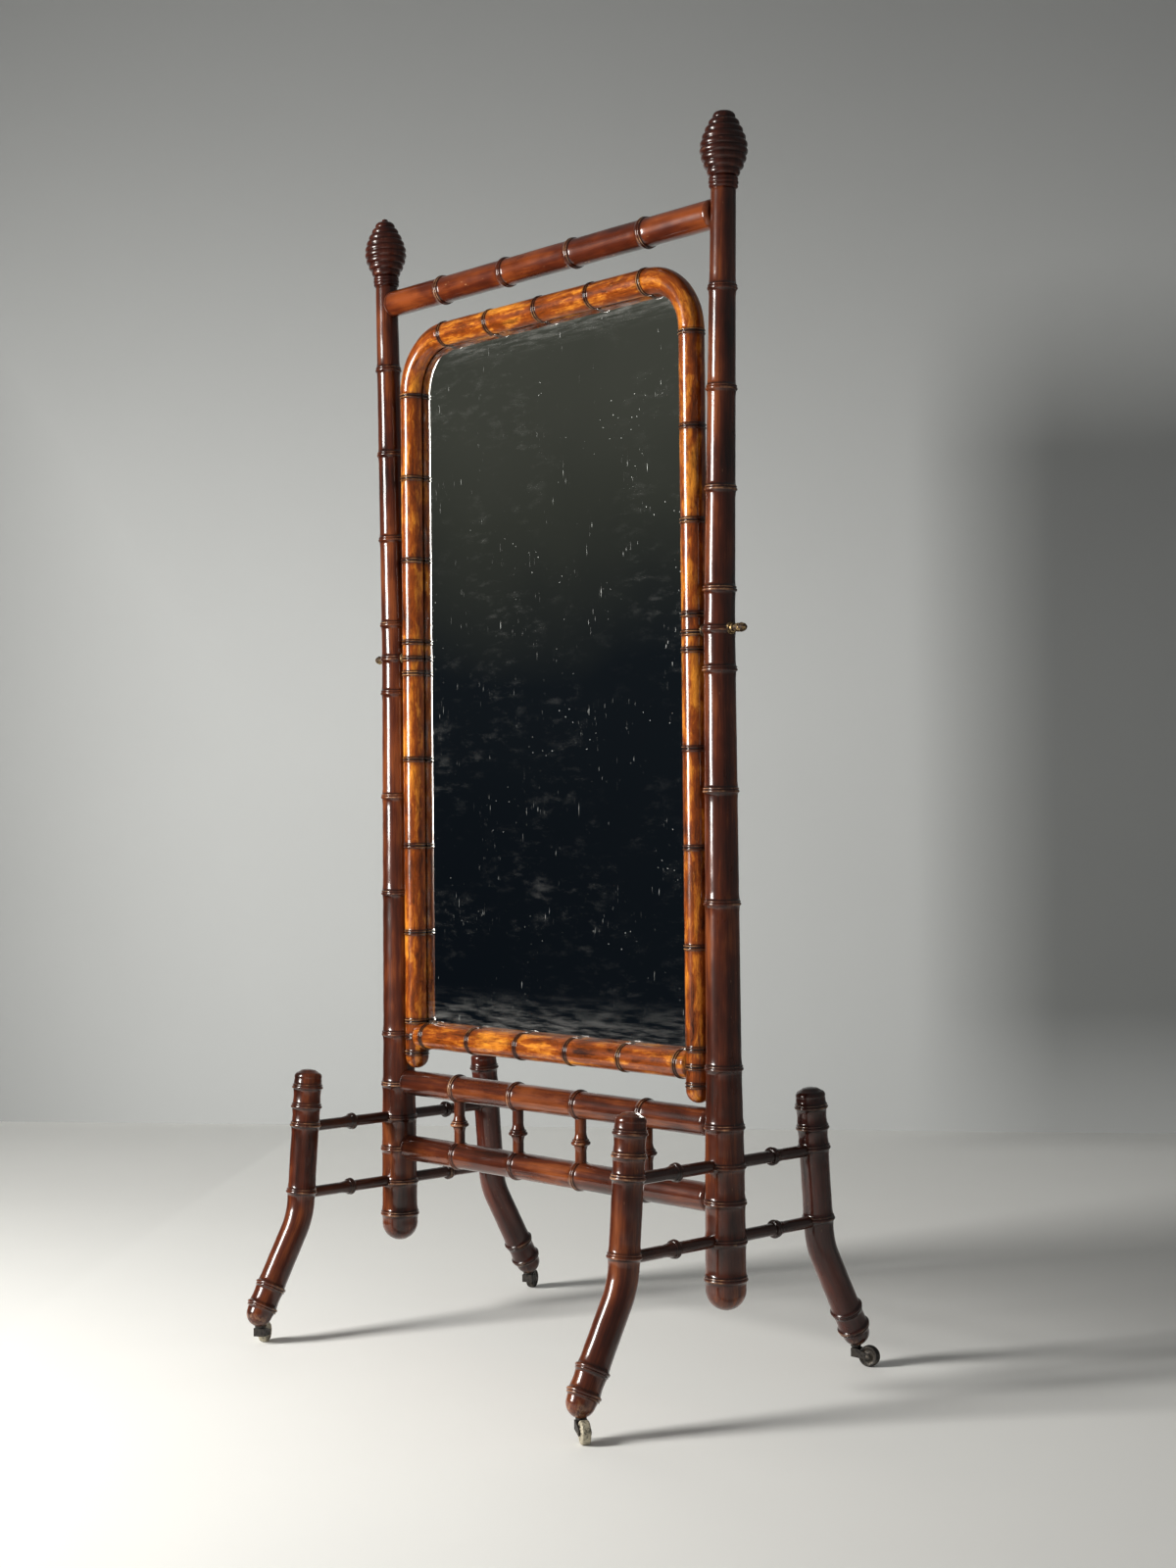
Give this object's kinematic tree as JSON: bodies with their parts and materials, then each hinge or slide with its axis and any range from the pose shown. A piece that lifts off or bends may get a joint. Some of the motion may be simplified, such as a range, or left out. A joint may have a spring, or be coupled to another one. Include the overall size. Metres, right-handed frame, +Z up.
{
  "type": "cheval mirror",
  "caption": "Tall free-standing cheval mirror in bamboo-turned mahogany: arched-corner glass swinging between two posts on splayed legs with casters.",
  "frame": {"origin": "on the floor under the middle of the stand", "axes": "+X to the mirror's right, -Y the side the glass faces, +Z up"},
  "size_m": [0.8374, 0.613, 1.8048],
  "materials": {
    "stand_mahogany": "French polished, dark red-brown",
    "finial_mahogany": "satin, dark red-brown",
    "rail_mahogany": "French polished, worn red-brown",
    "rod_mahogany": "polished, nearly black",
    "frame_wood": "French polished, figured orange-brown",
    "silvered_glass": "old silvering, lightly worn",
    "pine_board": "bare, aged",
    "pine_block": "bare",
    "steel_screw": "darkened",
    "aged_brass": "aged, partly bright",
    "caster_iron": "blackened",
    "caster_brass": "dull, blackened with age"
  },
  "bodies": {
    "stand": {"left_post": "stand_mahogany", "right_post": "stand_mahogany", "left_finial": "finial_mahogany", "right_finial": "finial_mahogany", "top_rail": "rail_mahogany", "upper_stretcher": "stand_mahogany", "lower_stretcher": "stand_mahogany", "gallery_spindle_1": "stand_mahogany", "gallery_spindle_2": "stand_mahogany", "gallery_spindle_3": "stand_mahogany", "gallery_spindle_4": "stand_mahogany", "front_left_leg": "stand_mahogany", "front_right_leg": "stand_mahogany", "back_left_leg": "stand_mahogany", "back_right_leg": "stand_mahogany", "front_left_upper_rod": "rod_mahogany", "front_left_lower_rod": "rod_mahogany", "front_right_upper_rod": "rod_mahogany", "front_right_lower_rod": "rod_mahogany", "back_left_upper_rod": "rod_mahogany", "back_left_lower_rod": "rod_mahogany", "back_right_upper_rod": "rod_mahogany", "back_right_lower_rod": "rod_mahogany", "left_pivot_bush": "aged_brass", "right_pivot_bush": "aged_brass", "front_left_caster_collar": "caster_iron", "front_right_caster_collar": "caster_iron", "back_left_caster_collar": "caster_iron", "back_right_caster_collar": "caster_iron"},
    "mirror": {"frame_left_stile": "frame_wood", "frame_right_stile": "frame_wood", "frame_left_corner": "frame_wood", "frame_right_corner": "frame_wood", "frame_top_rail": "frame_wood", "frame_bottom_rail": "frame_wood", "mirror_glass": "silvered_glass", "backboard": "pine_board", "backboard_screws": "steel_screw", "glass_blocks": "pine_block", "left_pivot_plate": "aged_brass", "right_pivot_plate": "aged_brass", "pivot_plate_screws": "steel_screw"},
    "left_screw": {"left_thumbscrew": "aged_brass", "left_pivot_shaft": "steel_screw"},
    "right_screw": {"right_thumbscrew": "aged_brass", "right_pivot_shaft": "steel_screw"},
    "front_left_fork": {"front_left_caster_horn": "caster_iron", "front_left_caster_axle": "steel_screw"},
    "front_left_wheel": {"front_left_caster_wheel": "caster_brass"},
    "front_right_fork": {"front_right_caster_horn": "caster_iron", "front_right_caster_axle": "steel_screw"},
    "front_right_wheel": {"front_right_caster_wheel": "caster_brass"},
    "back_left_fork": {"back_left_caster_horn": "caster_iron", "back_left_caster_axle": "steel_screw"},
    "back_left_wheel": {"back_left_caster_wheel": "caster_brass"},
    "back_right_fork": {"back_right_caster_horn": "caster_iron", "back_right_caster_axle": "steel_screw"},
    "back_right_wheel": {"back_right_caster_wheel": "caster_brass"}
  },
  "joints": [
    {"name": "mirror_tilt", "type": "hinge", "parent": "stand", "child": "mirror", "pos_m": [0, 0, 1.076], "axis": [1, 0, 0], "range_deg": [-170, 170]},
    {"name": "left_thumbscrew_turn", "type": "hinge", "parent": "stand", "child": "left_screw", "pos_m": [-0.4, 0, 1.076], "axis": [1, 0, 0], "range_deg": [-360, 0]},
    {"name": "right_thumbscrew_turn", "type": "hinge", "parent": "stand", "child": "right_screw", "pos_m": [0.4, 0, 1.076], "axis": [1, 0, 0], "range_deg": [0, 360]},
    {"name": "front_left_caster_swivel", "type": "hinge", "parent": "stand", "child": "front_left_fork", "pos_m": [-0.3665, -0.2774, 0.0266], "axis": [0, 0, 1], "continuous": true},
    {"name": "front_left_wheel_roll", "type": "hinge", "parent": "front_left_fork", "child": "front_left_wheel", "pos_m": [-0.37852, -0.25958, 0.0155], "axis": [-0.829, -0.5592, 0], "continuous": true},
    {"name": "front_right_caster_swivel", "type": "hinge", "parent": "stand", "child": "front_right_fork", "pos_m": [0.3665, -0.2774, 0.0266], "axis": [0, 0, 1], "continuous": true},
    {"name": "front_right_wheel_roll", "type": "hinge", "parent": "front_right_fork", "child": "front_right_wheel", "pos_m": [0.38493, -0.28847, 0.0155], "axis": [0.515, 0.8572, 0], "continuous": true},
    {"name": "back_left_caster_swivel", "type": "hinge", "parent": "stand", "child": "back_left_fork", "pos_m": [-0.3665, 0.2774, 0.0266], "axis": [0, 0, 1], "continuous": true},
    {"name": "back_left_wheel_roll", "type": "hinge", "parent": "back_left_fork", "child": "back_left_wheel", "pos_m": [-0.37659, 0.29639, 0.0155], "axis": [-0.8829, -0.4695, 0], "continuous": true},
    {"name": "back_right_caster_swivel", "type": "hinge", "parent": "stand", "child": "back_right_fork", "pos_m": [0.3665, 0.2774, 0.0266], "axis": [0, 0, 1], "continuous": true},
    {"name": "back_right_wheel_roll", "type": "hinge", "parent": "back_right_fork", "child": "back_right_wheel", "pos_m": [0.38717, 0.28333, 0.0155], "axis": [-0.2756, 0.9613, 0], "continuous": true}
  ]
}
